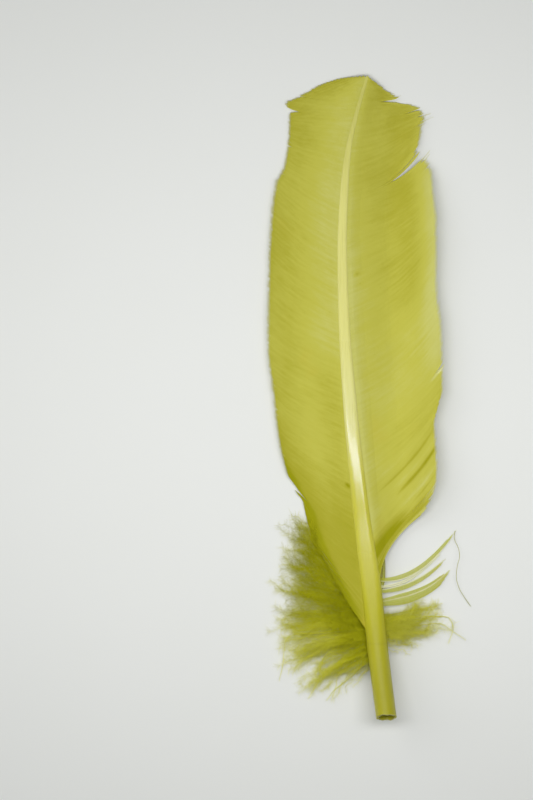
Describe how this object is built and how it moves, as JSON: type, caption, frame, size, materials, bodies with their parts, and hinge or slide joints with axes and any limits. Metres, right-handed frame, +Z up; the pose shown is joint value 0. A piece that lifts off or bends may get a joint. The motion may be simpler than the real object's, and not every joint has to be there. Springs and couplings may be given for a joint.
{
  "type": "turkey tail feather",
  "caption": "Cut dyed flight feather lying grooved side up: hollow quill, curved ridged shaft, two broad split vanes and downy locks at the foot.",
  "frame": {"origin": "middle of the base of the whole feather, on the plane that it lies on", "axes": "+Y from the cut end of the quill towards the tip, +Z up through the grooved underside, +X across the vanes"},
  "size_m": [0.078, 0.2504, 0.0163],
  "materials": {
    "vane": "satin dyed olive-yellow barbs, fine diagonal grain",
    "shaft": "smooth dyed keratin with a soft gloss, paler than the vanes",
    "down": "loose downy fibres, part see-through between them"
  },
  "bodies": {
    "root": {"feather": "vane"}
  },
  "joints": []
}
